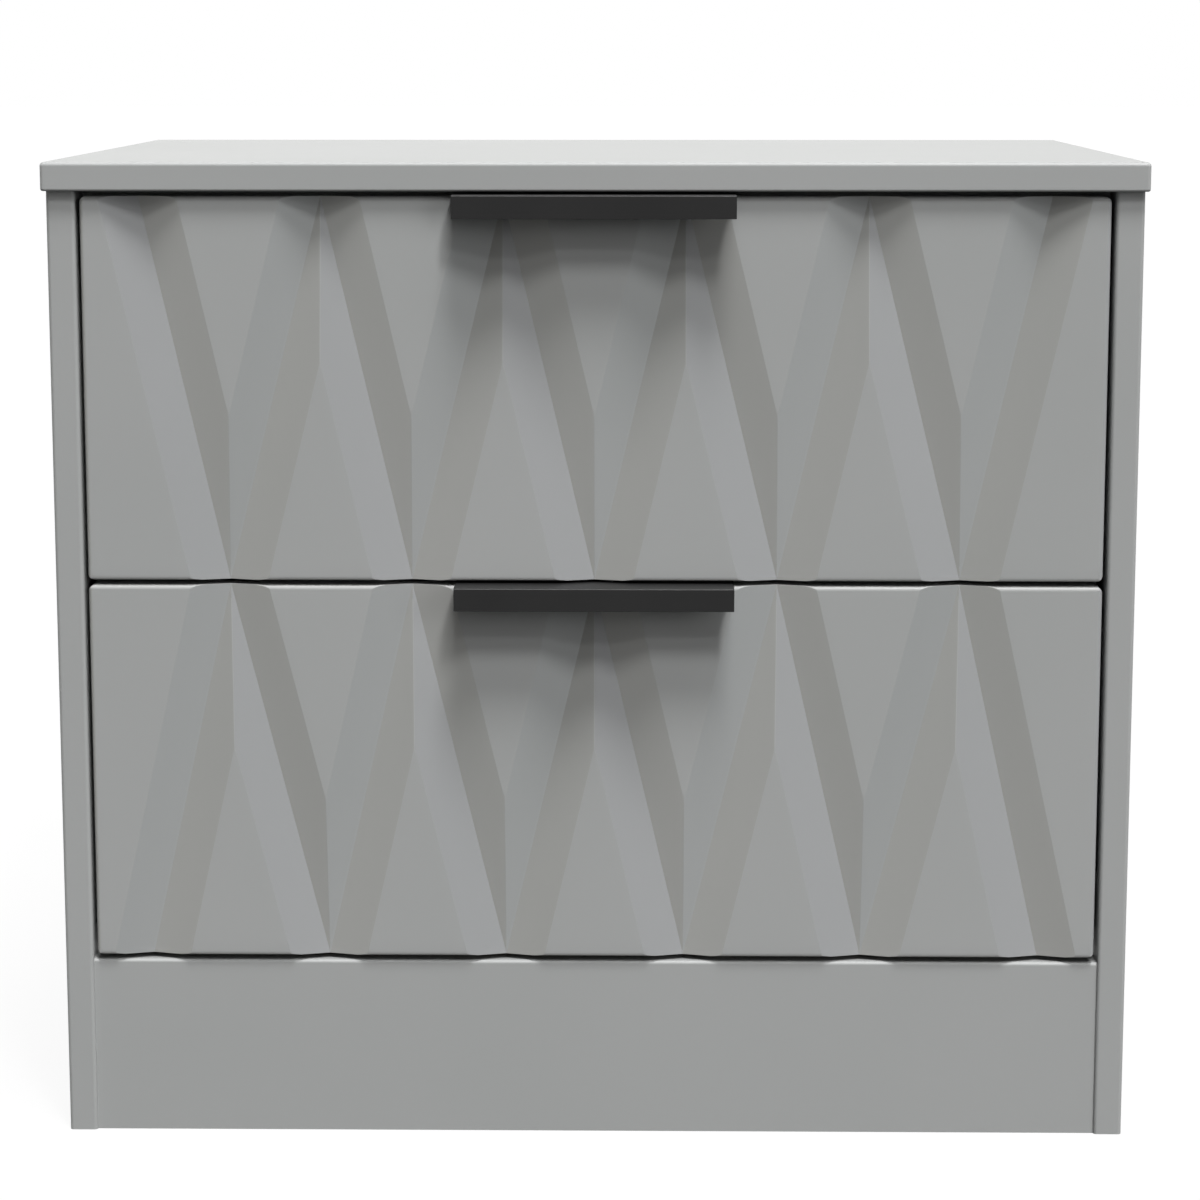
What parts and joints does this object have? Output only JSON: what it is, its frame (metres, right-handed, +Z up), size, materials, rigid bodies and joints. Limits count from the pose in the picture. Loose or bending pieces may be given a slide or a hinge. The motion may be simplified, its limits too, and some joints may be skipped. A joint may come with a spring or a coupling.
{
  "type": "nightstand",
  "caption": "Low wide bedside chest with stacked drawers, faceted V-grooved fronts, dark edge-pull handles, a plinth and drawer boxes that slide on roller runners.",
  "frame": {"origin": "on the floor, at the middle of the width and of the overall depth with the handles", "axes": "+X to the right seen from the front, +Y from the drawer fronts to the back, +Z up"},
  "size_m": [0.5744, 0.4306, 0.522],
  "materials": {
    "grey_finish": "satin",
    "raw_board": "matte",
    "box_foil": "satin",
    "hardboard": "matte",
    "dowel_beech": "matte",
    "black_metal": "matte",
    "runner_steel": "satin",
    "roller_nylon": "satin",
    "zinc_steel": "satin"
  },
  "bodies": {
    "carcass": {"top_panel": "grey_finish", "left_side_panel": "grey_finish", "right_side_panel": "grey_finish", "plinth": "grey_finish", "front_top_rail": "raw_board", "rear_top_rail": "raw_board", "rear_bottom_rail": "raw_board", "plinth_blocks": "raw_board", "back_panel": "hardboard", "carcass_dowels": "dowel_beech", "back_pins": "zinc_steel", "top_screws": "zinc_steel", "cabinet_runner_screws": "zinc_steel", "cabinet_roller_pins": "zinc_steel", "upper_left_cabinet_runner": "runner_steel", "upper_right_cabinet_runner": "runner_steel", "lower_left_cabinet_runner": "runner_steel", "lower_right_cabinet_runner": "runner_steel"},
    "upper_drawer": {"upper_drawer_front": "grey_finish", "upper_drawer_left_side": "box_foil", "upper_drawer_right_side": "box_foil", "upper_drawer_back": "box_foil", "upper_drawer_base": "hardboard", "upper_drawer_dowels": "dowel_beech", "upper_handle": "black_metal", "upper_handle_screws": "zinc_steel", "upper_drawer_back_screws": "zinc_steel", "upper_drawer_base_pins": "zinc_steel", "upper_drawer_runner_screws": "zinc_steel", "upper_drawer_roller_pins": "zinc_steel", "upper_left_drawer_runner": "runner_steel", "upper_right_drawer_runner": "runner_steel"},
    "upper_left_front_roller": {"upper_left_front_roller": "roller_nylon"},
    "upper_left_rear_roller": {"upper_left_rear_roller": "roller_nylon"},
    "upper_right_front_roller": {"upper_right_front_roller": "roller_nylon"},
    "upper_right_rear_roller": {"upper_right_rear_roller": "roller_nylon"},
    "lower_drawer": {"lower_drawer_front": "grey_finish", "lower_drawer_left_side": "box_foil", "lower_drawer_right_side": "box_foil", "lower_drawer_back": "box_foil", "lower_drawer_base": "hardboard", "lower_drawer_dowels": "dowel_beech", "lower_handle": "black_metal", "lower_handle_screws": "zinc_steel", "lower_drawer_back_screws": "zinc_steel", "lower_drawer_base_pins": "zinc_steel", "lower_drawer_runner_screws": "zinc_steel", "lower_drawer_roller_pins": "zinc_steel", "lower_left_drawer_runner": "runner_steel", "lower_right_drawer_runner": "runner_steel"},
    "lower_left_front_roller": {"lower_left_front_roller": "roller_nylon"},
    "lower_left_rear_roller": {"lower_left_rear_roller": "roller_nylon"},
    "lower_right_front_roller": {"lower_right_front_roller": "roller_nylon"},
    "lower_right_rear_roller": {"lower_right_rear_roller": "roller_nylon"}
  },
  "joints": [
    {"name": "upper_drawer_slide", "type": "slide", "parent": "carcass", "child": "upper_drawer", "axis": [0, -1, 0], "range_m": [0, 0.265]},
    {"name": "upper_left_front_roller_spin", "type": "hinge", "parent": "carcass", "child": "upper_left_front_roller", "pos_m": [-0.2643, -0.15975, 0.3255], "axis": [1, 0, 0], "continuous": true},
    {"name": "upper_left_rear_roller_spin", "type": "hinge", "parent": "upper_drawer", "child": "upper_left_rear_roller", "pos_m": [-0.2632, 0.12625, 0.3253], "axis": [1, 0, 0], "continuous": true},
    {"name": "upper_right_front_roller_spin", "type": "hinge", "parent": "carcass", "child": "upper_right_front_roller", "pos_m": [0.2643, -0.15975, 0.3255], "axis": [1, 0, 0], "continuous": true},
    {"name": "upper_right_rear_roller_spin", "type": "hinge", "parent": "upper_drawer", "child": "upper_right_rear_roller", "pos_m": [0.2632, 0.12625, 0.3253], "axis": [1, 0, 0], "continuous": true},
    {"name": "lower_drawer_slide", "type": "slide", "parent": "carcass", "child": "lower_drawer", "axis": [0, -1, 0], "range_m": [0, 0.265]},
    {"name": "lower_left_front_roller_spin", "type": "hinge", "parent": "carcass", "child": "lower_left_front_roller", "pos_m": [-0.2643, -0.15975, 0.1211], "axis": [1, 0, 0], "continuous": true},
    {"name": "lower_left_rear_roller_spin", "type": "hinge", "parent": "lower_drawer", "child": "lower_left_rear_roller", "pos_m": [-0.2632, 0.12625, 0.1209], "axis": [1, 0, 0], "continuous": true},
    {"name": "lower_right_front_roller_spin", "type": "hinge", "parent": "carcass", "child": "lower_right_front_roller", "pos_m": [0.2643, -0.15975, 0.1211], "axis": [1, 0, 0], "continuous": true},
    {"name": "lower_right_rear_roller_spin", "type": "hinge", "parent": "lower_drawer", "child": "lower_right_rear_roller", "pos_m": [0.2632, 0.12625, 0.1209], "axis": [1, 0, 0], "continuous": true}
  ],
  "couplings": [
    {"joint": "upper_left_front_roller_spin", "follows": "upper_drawer_slide", "rad_per_m": 98.039},
    {"joint": "upper_left_rear_roller_spin", "follows": "upper_drawer_slide", "rad_per_m": 98.039},
    {"joint": "upper_right_front_roller_spin", "follows": "upper_drawer_slide", "rad_per_m": 98.039},
    {"joint": "upper_right_rear_roller_spin", "follows": "upper_drawer_slide", "rad_per_m": 98.039},
    {"joint": "lower_left_front_roller_spin", "follows": "lower_drawer_slide", "rad_per_m": 98.039},
    {"joint": "lower_left_rear_roller_spin", "follows": "lower_drawer_slide", "rad_per_m": 98.039},
    {"joint": "lower_right_front_roller_spin", "follows": "lower_drawer_slide", "rad_per_m": 98.039},
    {"joint": "lower_right_rear_roller_spin", "follows": "lower_drawer_slide", "rad_per_m": 98.039}
  ]
}
